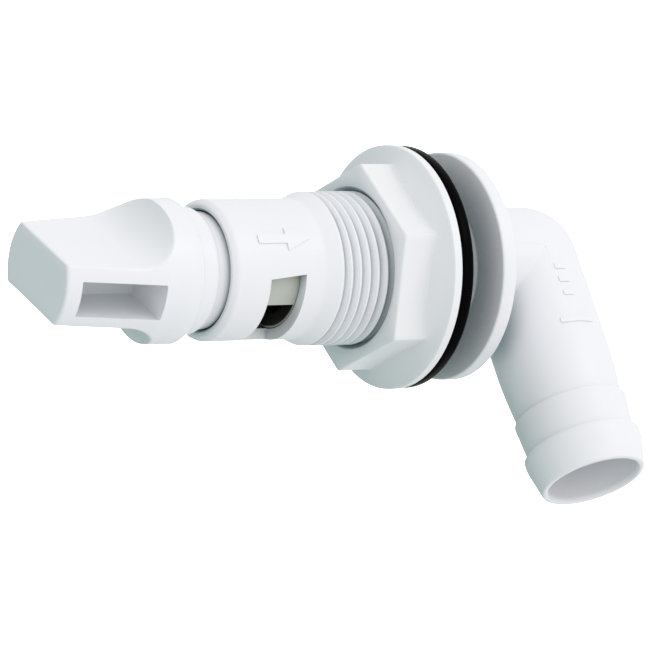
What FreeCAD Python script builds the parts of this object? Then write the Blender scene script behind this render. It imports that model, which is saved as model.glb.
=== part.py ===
import FreeCAD, Part

# Through-hull spray head with a rotary flow-control knob. Millimetres.
# Frame: origin at the centre of the mounting flange's sealing face, X along the main axis with the
# knob toward -X and the elbow toward +X, hose tail toward -Y, +Z up. Angles round the main axis are
# measured from +Z toward -Y.

import math
import os

V = FreeCAD.Vector
AXIS_X = V(1, 0, 0)
ORIGIN = V(0, 0, 0)

# ---- thread: 3/4 inch straight pipe thread, 14 to the inch ------------------------------------
THREAD_MAJOR_R = 13.335
THREAD_ROOT_R = 12.20
THREAD_PITCH = 1.8143
THREAD_START_X = -28.6
THREAD_END_X = -6.6
THREAD_CREST = 0.34
THREAD_CLEARANCE = 0.13

# ---- slotted sleeve ---------------------------------------------------------------------------
SLEEVE_END_X = -49.8
SLEEVE_R = 12.15
SLEEVE_CONE_X = -31.5
BORE_R = 10.20
BORE_STEP_X = -29.6
WATERWAY_R = 8.6
WINDOW_X0 = -42.5
WINDOW_X1 = -35.4
WINDOW_A0 = 37.3
WINDOW_A1 = 125.0
WINDOW_SLANT = 3.7
SNAP_GROOVE_X = -45.75
SNAP_GROOVE_R = 10.90
SNAP_GROOVE_W = 1.20
STOP_ANGLE = 270.0
STOP_HALF_ANGLE = 6.0

# ---- mounting flange, elbow and tail -----------------------------------------------------------
SHANK_R = 12.10
FLANGE_R = 20.0
FLANGE_T = 2.8
STUB_R = 10.3
TAIL_X = 17.9
TAIL_TOP_R = 10.2
TAIL_STEM_R = 9.55
TAIL_TAPER_Y = -23.0
BARB1_Y = -29.6
BARB1_R = 10.2
BARB2_Y = -36.4
BARB2_R = 10.55
BARB2_LAND = 1.2
TAIL_END_Y = -43.2
TAIL_END_R = 9.3
TAIL_BORE_R = 8.1

# ---- flanged nut --------------------------------------------------------------------------------
NUT_X0 = -18.8
NUT_X1 = -9.5
NUT_AF = 32.0
NUT_MINOR_R = 12.50
NUT_RIM_R = 21.3
NUT_RIM_X = -11.2
NUT_CONE_R = 16.0
NUT_CONE_X = -12.9
NUT_CORNER_ANGLE = 11.6
NUT_LEAD = 1.6

# ---- gasket -------------------------------------------------------------------------------------
GASKET_X0 = -9.45
GASKET_X1 = -6.9
GASKET_R = 21.2
GASKET_BORE_R = 13.55

# ---- knob ---------------------------------------------------------------------------------------
KNOB_TIP_X = -81.2
KNOB_TIP_R = 10.15
KNOB_SKIRT_R = 12.35
KNOB_CONE_X = -63.1
KNOB_SKIRT_X = -55.7
NECK1_R = 10.9
NECK1_X = -51.7
NECK2_R = 10.02
NECK2_X = -44.6
BLADE_ANGLE = 55.3
BLADE_TIP_HALF = 5.6
BLADE_ROOT_HALF = 5.55
SCOOP_X = -67.8
SCOOP_R = 7.4
POCKET_X0 = -78.4
POCKET_X1 = -63.0
POCKET_HALF = 3.2
POCKET_WEB_HALF = 1.8
RECESS_R0 = 4.2
RECESS_R1 = 7.4
RECESS_X = -51.5
O_RING_SECTION_R = 0.85
OUTER_O_RING_X = -48.35
SNAP_RING_W = 1.0
SNAP_RING_R1 = 10.80
SNAP_RING_R0 = 9.25

# ---- spool --------------------------------------------------------------------------------------
SPOOL_X0 = -44.5
SPOOL_X1 = -30.2
SPOOL_R = 10.02
SPOOL_BORE_R = 7.6
SPOOL_WALL_X = -42.9
PORT_X0 = -42.5
PORT_X1 = -35.4
PORT_EDGE_ANGLE = 66.4
PORT_SPAN = 98.0
INNER_O_RING_X = -33.6
TURN_OPEN = -26.0
TURN_CLOSED = 74.0

# ---- screw --------------------------------------------------------------------------------------
SCREW_R = 1.75
SCREW_HEAD_R = 3.3
SCREW_HEAD_T = 2.0
SCREW_TIP_X = -54.5


def revolve(points):
    """Full turn of an (x, r) outline about the main axis."""
    wire = Part.makePolygon([V(x, 0, r) for x, r in points] + [V(points[0][0], 0, points[0][1])])
    return Part.Face(wire).revolve(ORIGIN, AXIS_X, 360)


def rod(x0, x1, radius):
    """Solid round bar on the main axis."""
    return Part.makeCylinder(radius, x1 - x0, V(x0, 0, 0), AXIS_X)


def tube(x0, x1, inner, outer):
    """Round ring on the main axis."""
    return rod(x0, x1, outer).cut(rod(x0 - 1, x1 + 1, inner))


def turned(shape, degrees):
    """Copy turned about the main axis, positive from +Z toward -Y."""
    copy = shape.copy()
    copy.rotate(ORIGIN, AXIS_X, degrees)
    return copy


def sector(x0, x1, a0, a1, radius):
    """Wedge of a bar between two angles."""
    start = V(x0, 0, 0)
    edge0 = V(x0, -radius * math.sin(math.radians(a0)), radius * math.cos(math.radians(a0)))
    wire = Part.makePolygon([start, edge0, V(x1, edge0.y, edge0.z), V(x1, 0, 0), start])
    return Part.Face(wire).revolve(ORIGIN, AXIS_X, a1 - a0)


def box_on_axis(x0, x1, u0, u1, v0, v1, degrees):
    """Box with u along +Z and v along +Y before it is turned about the main axis."""
    box = Part.makeBox(x1 - x0, v1 - v0, u1 - u0, V(x0, v0, u0))
    return turned(box, degrees)


def helical_ridge(x0, x1, root, crest, crest_width, grow, phase):
    """Sixty degree thread ridge wound on the main axis from x0 to x1."""
    length = x1 - x0
    helix = Part.makeHelix(THREAD_PITCH, length, root)
    half_crest = crest_width / 2 + grow
    half_root = half_crest + (crest - root) * math.tan(math.radians(30))
    sink = 0.35
    half_sunk = half_root + sink * math.tan(math.radians(30))
    profile = Part.makePolygon(
        [
            V(root - sink, 0, -half_sunk),
            V(crest + grow, 0, -half_crest),
            V(crest + grow, 0, half_crest),
            V(root - sink, 0, half_sunk),
            V(root - sink, 0, -half_sunk),
        ]
    )
    pipe = Part.BRepOffsetAPI.MakePipeShell(Part.Wire(helix))
    pipe.setFrenetMode(True)
    pipe.add(profile)
    pipe.build()
    pipe.makeSolid()
    ridge = pipe.shape()
    ridge.rotate(ORIGIN, V(0, 1, 0), 90)
    ridge.translate(V(x0, 0, 0))
    return turned(ridge, phase)


def o_ring(x, groove_r, section):
    """Rubber ring of round section lying on a groove floor."""
    ring = Part.makeTorus(groove_r + section, section, V(x, 0, 0), AXIS_X)
    return ring


def raised_arrow(x0, x1, half, surface_r, height, degrees):
    """Low moulded arrow following a round surface."""
    neck = x1 - 2.2 * half
    points = [
        V(x0, -half * 0.38, 0),
        V(neck, -half * 0.38, 0),
        V(neck, -half, 0),
        V(x1, 0, 0),
        V(neck, half, 0),
        V(neck, half * 0.38, 0),
        V(x0, half * 0.38, 0),
        V(x0, -half * 0.38, 0),
    ]
    prism = Part.Face(Part.makePolygon(points)).extrude(V(0, 0, surface_r + 5))
    shell = tube(x0 - 1, x1 + 1, surface_r - 0.3, surface_r + height)
    return turned(prism.common(shell), degrees)


def sleeve_and_shank():
    """Outer form of the straight part, with the raised thread."""
    outer = revolve(
        [
            (SLEEVE_END_X, 0),
            (SLEEVE_END_X, SLEEVE_R - 0.8),
            (SLEEVE_END_X + 0.8, SLEEVE_R),
            (SLEEVE_CONE_X, SLEEVE_R),
            (THREAD_START_X - 0.3, THREAD_MAJOR_R - 0.02),
            (THREAD_START_X + 0.1, THREAD_MAJOR_R - 0.02),
            (THREAD_START_X + 0.75, THREAD_ROOT_R),
            (THREAD_END_X + 0.4, THREAD_ROOT_R),
            (THREAD_END_X + 0.5, SHANK_R),
            (0.5, SHANK_R),
            (0.5, 0),
        ]
    )
    ridge = helical_ridge(
        THREAD_START_X + 0.6, THREAD_END_X - 0.7, THREAD_ROOT_R, THREAD_MAJOR_R, THREAD_CREST, 0.0, 0.0
    )
    return outer.fuse(ridge)


def mounting_flange():
    """Round flange whose -X face lies on the hull."""
    disc = rod(0, FLANGE_T, FLANGE_R)
    rims = [e for e in disc.Edges if abs(e.Length - 2 * math.pi * FLANGE_R) < 0.1]
    return disc.makeFillet(0.45, rims)


def tail_outer():
    """Hose tail revolved about its own axis, with two barbs."""
    points = [
        (0.0, 0.0),
        (0.0, TAIL_TOP_R),
        (TAIL_TAPER_Y, TAIL_TOP_R - 0.05),
        (BARB1_Y + 0.01, TAIL_STEM_R),
        (BARB1_Y, BARB1_R - 0.12),
        (BARB1_Y - 0.15, BARB1_R),
        (BARB2_Y + 0.01, TAIL_STEM_R + 0.1),
        (BARB2_Y, BARB2_R - 0.12),
        (BARB2_Y - 0.15, BARB2_R),
        (BARB2_Y - 0.15 - BARB2_LAND, BARB2_R),
        (TAIL_END_Y + 0.4, TAIL_END_R),
        (TAIL_END_Y, TAIL_END_R - 0.3),
        (TAIL_END_Y, 0.0),
        (0.0, 0.0),
    ]
    wire = Part.makePolygon([V(TAIL_X + r, y, 0) for y, r in points])
    return Part.Face(wire).revolve(V(TAIL_X, 0, 0), V(0, 1, 0), 360)


def elbow_outer():
    """Stub, round outer corner and hose tail."""
    stub = rod(FLANGE_T - 0.5, TAIL_X, STUB_R)
    corner = Part.makeSphere(STUB_R, V(TAIL_X, 0, 0))
    return stub.fuse([corner, tail_outer()])


def water_passage():
    """Bore from the sleeve mouth round the elbow to the tail end."""
    main = rod(SLEEVE_END_X - 1, BORE_STEP_X, BORE_R)
    mouth = revolve(
        [
            (SLEEVE_END_X - 0.1, 0),
            (SLEEVE_END_X - 0.1, BORE_R + 0.45),
            (SLEEVE_END_X + 0.35, BORE_R),
            (SLEEVE_END_X + 0.35, 0),
        ]
    )
    reach = rod(BORE_STEP_X - 0.1, TAIL_X, WATERWAY_R)
    ball = Part.makeSphere(WATERWAY_R, V(TAIL_X, 0, 0))
    cone = Part.makeCone(WATERWAY_R, TAIL_BORE_R, 24, V(TAIL_X, 0, 0), V(0, -1, 0))
    tail = Part.makeCylinder(TAIL_BORE_R, 30, V(TAIL_X, -20, 0), V(0, -1, 0))
    lip = Part.makeCone(
        TAIL_BORE_R, TAIL_BORE_R + 0.45, 0.65, V(TAIL_X, TAIL_END_Y + 0.6, 0), V(0, -1, 0)
    )
    half = SNAP_GROOVE_W / 2
    groove = rod(SNAP_GROOVE_X - half, SNAP_GROOVE_X + half, SNAP_GROOVE_R)
    return main.fuse([mouth, reach, ball, cone, tail, lip, groove])


def hull_body():
    """One moulding: slotted sleeve, thread, flange, elbow and barbed tail."""
    body = sleeve_and_shank().fuse([mounting_flange(), elbow_outer()])
    body = body.cut(water_passage())
    body = body.cut(sector(WINDOW_X0, WINDOW_X1, WINDOW_A0, WINDOW_A1, SLEEVE_R + 3))
    body = body.cut(window_slant())
    stop = sector(
        BORE_STEP_X - 1.9, BORE_STEP_X + 0.5, STOP_ANGLE - STOP_HALF_ANGLE, STOP_ANGLE + STOP_HALF_ANGLE,
        BORE_R + 0.3,
    ).cut(rod(BORE_STEP_X - 3, BORE_STEP_X + 3, WATERWAY_R + 0.1))
    marks = [raised_arrow(-44.5, -34.0, 2.2, SLEEVE_R, 0.22, 4.0)]
    marks += [tail_bar(y, 1.1) for y in (-6.0, -8.6, -11.2)]
    marks.append(tail_bar(-16.5, 3.4))
    return body.fuse([stop] + marks).removeSplitter()


def window_slant():
    """Wedge that makes the window's upper edge run up toward the thread."""
    rise = SLEEVE_R * math.tan(math.radians(WINDOW_SLANT))
    points = [V(WINDOW_X0, -0.3, 9), V(WINDOW_X0, 0, 9), V(WINDOW_X1, rise, 9), V(WINDOW_X1, -0.3, 9)]
    wedge = Part.Face(Part.makePolygon(points + [points[0]])).extrude(V(0, 0, 8))
    return turned(wedge, WINDOW_A0)


def tail_bar(y, half_length):
    """Low raised bar across the +Z side of the hose tail."""
    block = Part.makeBox(2 * half_length, 1.0, 6, V(TAIL_X - half_length, y - 0.5, 6.5))
    shell = Part.makeCylinder(TAIL_TOP_R + 0.2, 8, V(TAIL_X, y + 4, 0), V(0, -1, 0))
    core = Part.makeCylinder(TAIL_TOP_R - 0.4, 10, V(TAIL_X, y + 5, 0), V(0, -1, 0))
    return block.common(shell).cut(core)


def hexagon(x0, x1, across_flats, corner_angle):
    """Hexagonal bar with a corner at the given angle."""
    radius = across_flats / math.sqrt(3)
    points = []
    for k in range(7):
        a = math.radians(corner_angle + 60 * k)
        points.append(V(x0, -radius * math.sin(a), radius * math.cos(a)))
    return Part.Face(Part.makePolygon(points)).extrude(V(x1 - x0, 0, 0))


def flange_nut():
    """Hexagon nut with a conical flange and an internal thread in phase with the body."""
    corner_r = NUT_AF / math.sqrt(3)
    crown = revolve(
        [
            (NUT_X0, 0),
            (NUT_X0, corner_r - 0.5),
            (NUT_X0 + 0.35, corner_r + 0.1),
            (NUT_X1 - 1, corner_r + 0.1),
            (NUT_X1 - 1, 0),
        ]
    )
    flats = hexagon(NUT_X0, NUT_X1 - 1, NUT_AF, NUT_CORNER_ANGLE).common(crown)
    skirt = revolve(
        [
            (NUT_CONE_X, 0),
            (NUT_CONE_X, NUT_CONE_R),
            (NUT_RIM_X, NUT_RIM_R - 0.15),
            (NUT_RIM_X + 0.2, NUT_RIM_R),
            (NUT_X1 - 0.25, NUT_RIM_R),
            (NUT_X1, NUT_RIM_R - 0.25),
            (NUT_X1, 0),
        ]
    )
    blank = flats.fuse(skirt)
    lead = NUT_LEAD
    hole = revolve(
        [
            (NUT_X0 - 0.1, 0),
            (NUT_X0 - 0.1, NUT_MINOR_R + lead + 0.1),
            (NUT_X0 + lead, NUT_MINOR_R),
            (NUT_X1 - lead, NUT_MINOR_R),
            (NUT_X1 + 0.1, NUT_MINOR_R + lead + 0.1),
            (NUT_X1 + 0.1, 0),
        ]
    )
    turns = 7
    back = THREAD_START_X + 0.6 + 4 * THREAD_PITCH
    tap = helical_ridge(
        back, back + turns * THREAD_PITCH, THREAD_ROOT_R, THREAD_MAJOR_R, THREAD_CREST, THREAD_CLEARANCE, 0.0
    )
    return blank.cut(hole).cut(tap)


def hull_gasket():
    """Flat rubber ring with rounded outer edges."""
    ring = tube(GASKET_X0, GASKET_X1, GASKET_BORE_R, GASKET_R)
    rims = [e for e in ring.Edges if abs(e.Length - 2 * math.pi * GASKET_R) < 0.1]
    return ring.makeFillet(0.7, rims)


def blade_sides():
    """Solid between the two gripping faces, with the scooped run-out at the skirt."""
    arc_mid = math.radians(40)
    arc_end = math.radians(80)
    centre_u = BLADE_ROOT_HALF + SCOOP_R

    def scoop_point(angle, side):
        return V(SCOOP_X + SCOOP_R * math.sin(angle), 0, side * (centre_u - SCOOP_R * math.cos(angle)))

    tip_up = V(KNOB_TIP_X - 1, 0, BLADE_TIP_HALF)
    root_up = V(SCOOP_X, 0, BLADE_ROOT_HALF)
    top_end = scoop_point(arc_end, 1)
    far_up = V(top_end.x, 0, 20)
    back_up = V(NECK2_X + 1, 0, 20)
    back_down = V(NECK2_X + 1, 0, -20)
    far_down = V(top_end.x, 0, -20)
    bottom_end = scoop_point(arc_end, -1)
    root_down = V(SCOOP_X, 0, -BLADE_ROOT_HALF)
    tip_down = V(KNOB_TIP_X - 1, 0, -BLADE_TIP_HALF)
    edges = [
        Part.makeLine(tip_up, root_up),
        Part.Arc(root_up, scoop_point(arc_mid, 1), top_end).toShape(),
        Part.makeLine(top_end, far_up),
        Part.makeLine(far_up, back_up),
        Part.makeLine(back_up, back_down),
        Part.makeLine(back_down, far_down),
        Part.makeLine(far_down, bottom_end),
        Part.Arc(bottom_end, scoop_point(arc_mid, -1), root_down).toShape(),
        Part.makeLine(root_down, tip_down),
        Part.makeLine(tip_down, tip_up),
    ]
    slab = Part.Face(Part.Wire(edges)).extrude(V(0, 40, 0))
    slab.translate(V(0, -20, 0))
    return turned(slab, BLADE_ANGLE - 90)


def knob_outline():
    """Turned outline of the knob, skirt and stepped neck."""
    groove_floor = BORE_R - 2 * O_RING_SECTION_R - 0.03
    groove_half = O_RING_SECTION_R + 0.1
    snap_half = SNAP_RING_W / 2 + 0.02
    return revolve(
        [
            (KNOB_TIP_X, 0),
            (KNOB_TIP_X, KNOB_TIP_R),
            (KNOB_CONE_X, KNOB_SKIRT_R),
            (KNOB_SKIRT_X - 0.8, KNOB_SKIRT_R),
            (KNOB_SKIRT_X - 0.25, KNOB_SKIRT_R - 0.25),
            (KNOB_SKIRT_X, KNOB_SKIRT_R - 0.8),
            (KNOB_SKIRT_X, NECK1_R),
            (NECK1_X - 0.8, NECK1_R),
            (NECK1_X, NECK1_R - 0.5),
            (NECK1_X, NECK2_R),
            (OUTER_O_RING_X - groove_half, NECK2_R),
            (OUTER_O_RING_X - groove_half, groove_floor),
            (OUTER_O_RING_X + groove_half, groove_floor),
            (OUTER_O_RING_X + groove_half, NECK2_R),
            (SNAP_GROOVE_X - snap_half, NECK2_R),
            (SNAP_GROOVE_X - snap_half, SNAP_RING_R0 - 0.05),
            (SNAP_GROOVE_X + snap_half, SNAP_RING_R0 - 0.05),
            (SNAP_GROOVE_X + snap_half, NECK2_R),
            (NECK2_X, NECK2_R),
            (NECK2_X, 0),
        ]
    )


def control_knob():
    """Winged knob, with a pocket in each narrow side and a hollow neck behind."""
    knob = knob_outline().common(blade_sides())
    for side in (0, 180):
        knob = knob.cut(
            box_on_axis(
                POCKET_X0, POCKET_X1, POCKET_WEB_HALF, 20, -POCKET_HALF, POCKET_HALF, BLADE_ANGLE + side
            )
        )
    recess = tube(RECESS_X, NECK2_X + 1, RECESS_R0, RECESS_R1)
    for side in (0, 180):
        recess = recess.cut(box_on_axis(RECESS_X - 1, NECK2_X + 2, 3.5, 9, -3.2, 3.2, BLADE_ANGLE + side))
    knob = knob.cut(recess)
    for side in (0, 180):
        knob = knob.cut(box_on_axis(NECK2_X - 2.6, NECK2_X + 1, 4.4, 7.5, -1.65, 1.65, BLADE_ANGLE + side))
    return knob.cut(rod(SCREW_TIP_X - 0.6, NECK2_X + 1, SCREW_R + 0.02))


def valve_spool():
    """Ported barrel driven by two lugs in the knob neck."""
    groove_floor = BORE_R - 2 * O_RING_SECTION_R - 0.03
    groove_half = O_RING_SECTION_R + 0.1
    barrel = revolve(
        [
            (SPOOL_X0, 0),
            (SPOOL_X0, SPOOL_R),
            (INNER_O_RING_X - groove_half, SPOOL_R),
            (INNER_O_RING_X - groove_half, groove_floor),
            (INNER_O_RING_X + groove_half, groove_floor),
            (INNER_O_RING_X + groove_half, SPOOL_R),
            (SPOOL_X1, SPOOL_R),
            (SPOOL_X1, SPOOL_BORE_R),
            (SPOOL_WALL_X, SPOOL_BORE_R),
            (SPOOL_WALL_X, 0),
        ]
    )
    port = sector(PORT_X0, PORT_X1, PORT_EDGE_ANGLE, PORT_EDGE_ANGLE + PORT_SPAN, SPOOL_R + 3)
    port = port.cut(rod(PORT_X0 - 1, SPOOL_WALL_X, SPOOL_R + 5))
    notch = sector(
        SPOOL_X1 - 1.7, SPOOL_X1 + 1,
        STOP_ANGLE - TURN_CLOSED - STOP_HALF_ANGLE - 1.0,
        STOP_ANGLE - TURN_OPEN + STOP_HALF_ANGLE + 1.0,
        SPOOL_R + 3,
    ).cut(rod(SPOOL_X1 - 3, SPOOL_X1 + 3, SPOOL_BORE_R - 0.5))
    spool = barrel.cut(port).cut(notch)
    for side in (0, 180):
        spool = spool.fuse(
            box_on_axis(SPOOL_X0 - 2.4, SPOOL_X0 + 0.2, 4.55, 7.3, -1.5, 1.5, BLADE_ANGLE + side)
        )
    return spool.cut(rod(SPOOL_X0 - 5, SPOOL_WALL_X + 1, SCREW_R + 0.15))


def spool_screw():
    """Pan-head self-tapping screw with a cross recess."""
    seat = SPOOL_WALL_X + 0.01
    tip = SCREW_TIP_X
    screw = revolve(
        [
            (tip, 0),
            (tip, 0.3),
            (tip + 2.2, SCREW_R),
            (seat, SCREW_R),
            (seat, SCREW_HEAD_R),
            (seat + SCREW_HEAD_T * 0.55, SCREW_HEAD_R),
            (seat + SCREW_HEAD_T, SCREW_HEAD_R * 0.55),
            (seat + SCREW_HEAD_T, 0),
        ]
    )
    for angle in (0, 90):
        screw = screw.cut(box_on_axis(seat + 0.8, seat + 3, -1.9, 1.9, -0.4, 0.4, angle))
    return screw


def retaining_ring():
    """Split spring ring lying in the neck groove and the sleeve groove."""
    half = SNAP_RING_W / 2
    ring = tube(SNAP_GROOVE_X - half, SNAP_GROOVE_X + half, SNAP_RING_R0, SNAP_RING_R1)
    return ring.cut(box_on_axis(SNAP_GROOVE_X - 2, SNAP_GROOVE_X + 2, 5, 15, -1.2, 1.2, 215))


def main():
    """Build and save every piece."""
    os.makedirs("parts", exist_ok=True)
    groove_floor = BORE_R - 2 * O_RING_SECTION_R - 0.03
    pieces = {
        "hull_body": hull_body(),
        "flange_nut": flange_nut(),
        "hull_gasket": hull_gasket(),
        "control_knob": control_knob(),
        "valve_spool": valve_spool(),
        "spool_screw": spool_screw(),
        "outer_o_ring": o_ring(OUTER_O_RING_X, groove_floor, O_RING_SECTION_R),
        "inner_o_ring": o_ring(INNER_O_RING_X, groove_floor, O_RING_SECTION_R),
        "retaining_ring": retaining_ring(),
    }
    for name, shape in pieces.items():
        if len(shape.Solids) == 1:
            shape = shape.Solids[0]
        print(name, shape.ShapeType, len(shape.Solids), shape.isValid(), round(shape.Volume, 2))
        shape.exportStep("parts/" + name + ".step")


main()
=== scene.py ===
import logging
import math
from dataclasses import dataclass
from enum import Enum

import bmesh
import bpy
from mathutils import Matrix, Vector


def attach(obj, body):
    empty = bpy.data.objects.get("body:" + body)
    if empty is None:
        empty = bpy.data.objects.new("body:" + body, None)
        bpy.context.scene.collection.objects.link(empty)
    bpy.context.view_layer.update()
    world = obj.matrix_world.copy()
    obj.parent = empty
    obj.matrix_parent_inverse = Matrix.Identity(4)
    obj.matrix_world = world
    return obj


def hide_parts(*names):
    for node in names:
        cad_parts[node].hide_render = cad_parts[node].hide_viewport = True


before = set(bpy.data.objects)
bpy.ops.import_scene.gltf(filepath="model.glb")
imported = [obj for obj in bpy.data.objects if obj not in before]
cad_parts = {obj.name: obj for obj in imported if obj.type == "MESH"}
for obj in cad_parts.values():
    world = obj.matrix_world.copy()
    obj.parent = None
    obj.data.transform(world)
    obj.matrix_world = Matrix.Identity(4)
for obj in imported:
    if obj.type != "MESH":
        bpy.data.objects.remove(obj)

# Through-hull spray head: white moulded body with thread, flange, elbow and barbed hose tail, a flanged
# nut, a rubber gasket and a winged knob that turns a ported spool. Sizes are millimetres until a piece
# is finished; the frame has X along the main axis, the hose tail toward -Y and +Z on the marked side.
# Angles round the main axis are measured from +Z toward -Y.

log = logging.getLogger("spray_head")
MM = 0.001
SEGMENTS = 180
MERGE = 1e-4
SEAM = 3e-3
SHARP_ANGLE = math.radians(33)
Skin = bmesh.types.BMesh
Shape = bpy.types.Object
Tree = bpy.types.NodeTree
Node = bpy.types.Node
Socket = bpy.types.NodeSocket
Material = bpy.types.Material


class Join(Enum):
    """How two closed shapes are put together."""

    UNITE = "UNION"
    CUT = "DIFFERENCE"
    KEEP_COMMON = "INTERSECT"


@dataclass(frozen=True)
class Corner:
    """One corner of a turned outline.

    Args:
        x: Place along the axis, mm.
        r: Distance from the axis, mm.
        soft: How far along both sides the corner is rounded off, mm.
    """

    x: float
    r: float
    soft: float = 0.0


def smooth_min(a: float, b: float, blend: float) -> float:
    """Smaller of two sizes with a rounded changeover.

    Args:
        a: First size, mm.
        b: Second size, mm.
        blend: Width of the changeover, mm.

    Returns:
        The blended smaller size, mm.
    """
    part = max(blend - abs(a - b), 0.0) / blend
    return min(a, b) - part * part * blend / 4


def smooth_max(a: float, b: float, blend: float) -> float:
    """Larger of two sizes with a rounded changeover.

    Args:
        a: First size, mm.
        b: Second size, mm.
        blend: Width of the changeover, mm.

    Returns:
        The blended larger size, mm.
    """
    return -smooth_min(-a, -b, blend)


def draw_outline(bm: Skin, corners: list[Corner], closed: bool = False) -> None:
    """Draws an outline in the plane of the axis and +Z and rounds its corners.

    Args:
        bm: Mesh being built.
        corners: Corners in order.
        closed: Whether the last corner joins the first.
    """
    verts = [bm.verts.new((c.x, 0.0, c.r)) for c in corners]
    for a, b in zip(verts, verts[1:]):
        bm.edges.new((a, b))
    if closed:
        bm.edges.new((verts[-1], verts[0]))
    for vert, corner in zip(verts, corners):
        if corner.soft > 0:
            bmesh.ops.bevel(
                bm, geom=[vert], offset=corner.soft, offset_type="OFFSET", segments=3, profile=0.5,
                affect="VERTICES", clamp_overlap=True, material=-1,
            )


def face_out(bm: Skin) -> None:
    """Turns every face outward."""
    bmesh.ops.recalc_face_normals(bm, faces=bm.faces[:])


def new_verts(grown: list) -> list:
    """Vertices among the parts that an operator made."""
    return [g for g in grown if isinstance(g, bmesh.types.BMVert)]


def close_skin(bm: Skin) -> None:
    """Joins touching vertices and turns every face outward.

    Args:
        bm: Mesh being built.
    """
    bmesh.ops.remove_doubles(bm, verts=bm.verts[:], dist=MERGE)
    face_out(bm)


def turned_skin(corners: list[Corner], closed: bool = False, segments: int = SEGMENTS) -> Skin:
    """Skin of an outline turned a full circle about the X direction.

    Args:
        corners: Corners of the outline.
        closed: Whether the outline is a closed loop.
        segments: Steps round the circle.

    Returns:
        New mesh being built.
    """
    bm = bmesh.new()
    draw_outline(bm, corners, closed)
    bmesh.ops.spin(
        bm, geom=bm.verts[:] + bm.edges[:], cent=(0, 0, 0), axis=(1, 0, 0), dvec=(0, 0, 0),
        angle=2 * math.pi, steps=segments, use_merge=True, use_normal_flip=False, use_duplicate=False,
    )
    bmesh.ops.remove_doubles(bm, verts=bm.verts[:], dist=MERGE)
    return bm


def add_skin(bm: Skin, other: Skin) -> None:
    """Moves all of another mesh into this one.

    Args:
        bm: Mesh that grows.
        other: Mesh that is used up.
    """
    mesh = bpy.data.meshes.new("part_of_skin")
    other.to_mesh(mesh)
    other.free()
    bm.from_mesh(mesh)
    bpy.data.meshes.remove(mesh)


def shape_from(bm: Skin, name: str) -> Shape:
    """Turns a mesh being built into an object.

    Args:
        bm: Mesh being built, used up.
        name: Name of the object.

    Returns:
        The object, linked to the scene.
    """
    mesh = bpy.data.meshes.new(name)
    bm.to_mesh(mesh)
    bm.free()
    obj = bpy.data.objects.new(name, mesh)
    bpy.context.scene.collection.objects.link(obj)
    return obj


def put_together(base: Shape, other: Shape, how: Join) -> Shape:
    """Unites, cuts or intersects two closed shapes.

    Args:
        base: Object that is changed.
        other: Object that is used up.
        how: A Join.

    Returns:
        The changed base object.
    """
    modifier = base.modifiers.new("join", "BOOLEAN")
    modifier.operation = how.value
    modifier.solver = "MANIFOLD"
    modifier.object = other
    bpy.context.view_layer.update()
    graph = bpy.context.evaluated_depsgraph_get()
    mesh = bpy.data.meshes.new_from_object(base.evaluated_get(graph))
    base.modifiers.clear()
    old = base.data
    base.data = mesh
    bpy.data.meshes.remove(old)
    spare = other.data
    bpy.data.objects.remove(other)
    bpy.data.meshes.remove(spare)
    return base


def sector_block(x0: float, x1: float, r0: float, r1: float, a0: float, a1: float) -> Shape:
    """Closed block between two radii and two angles.

    Args:
        x0: Start along the axis, mm.
        x1: End along the axis, mm.
        r0: Inner radius, mm.
        r1: Outer radius, mm.
        a0: Start angle, degrees.
        a1: End angle, degrees.

    Returns:
        The block as an object.
    """
    bm = bmesh.new()
    bmesh.ops.create_grid(bm, x_segments=1, y_segments=1, size=0.5)
    place = Matrix.Translation((x0 + (x1 - x0) / 2, 0, (r0 + r1) / 2)) @ Matrix.Rotation(math.pi / 2, 4, "X")
    scale = Matrix.Diagonal((x1 - x0, r1 - r0, 1, 1))
    bmesh.ops.transform(bm, matrix=Matrix.Rotation(math.radians(a0), 4, "X") @ place @ scale, verts=bm.verts[:])
    bmesh.ops.spin(
        bm, geom=bm.verts[:] + bm.edges[:] + bm.faces[:], cent=(0, 0, 0), axis=(1, 0, 0), dvec=(0, 0, 0),
        angle=math.radians(a1 - a0), steps=max(6, round(abs(a1 - a0) / 2)), use_merge=False,
        use_normal_flip=False, use_duplicate=False,
    )
    close_skin(bm)
    return shape_from(bm, "sector_block")


def soft_box(size: tuple[float, float, float], place: Matrix, soft: float) -> Shape:
    """Box with rounded edges.

    Args:
        size: Full lengths, mm.
        place: Matrix that puts the box in place.
        soft: Edge rounding, mm.

    Returns:
        The box as an object.
    """
    bm = bmesh.new()
    bmesh.ops.create_cube(bm, size=1.0)
    bmesh.ops.scale(bm, vec=size, verts=bm.verts[:])
    bmesh.ops.bevel(
        bm, geom=bm.edges[:], offset=soft, offset_type="OFFSET", segments=3, profile=0.5, affect="EDGES",
        clamp_overlap=True, material=-1,
    )
    bmesh.ops.transform(bm, matrix=place, verts=bm.verts[:])
    face_out(bm)
    return shape_from(bm, "soft_box")


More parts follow.
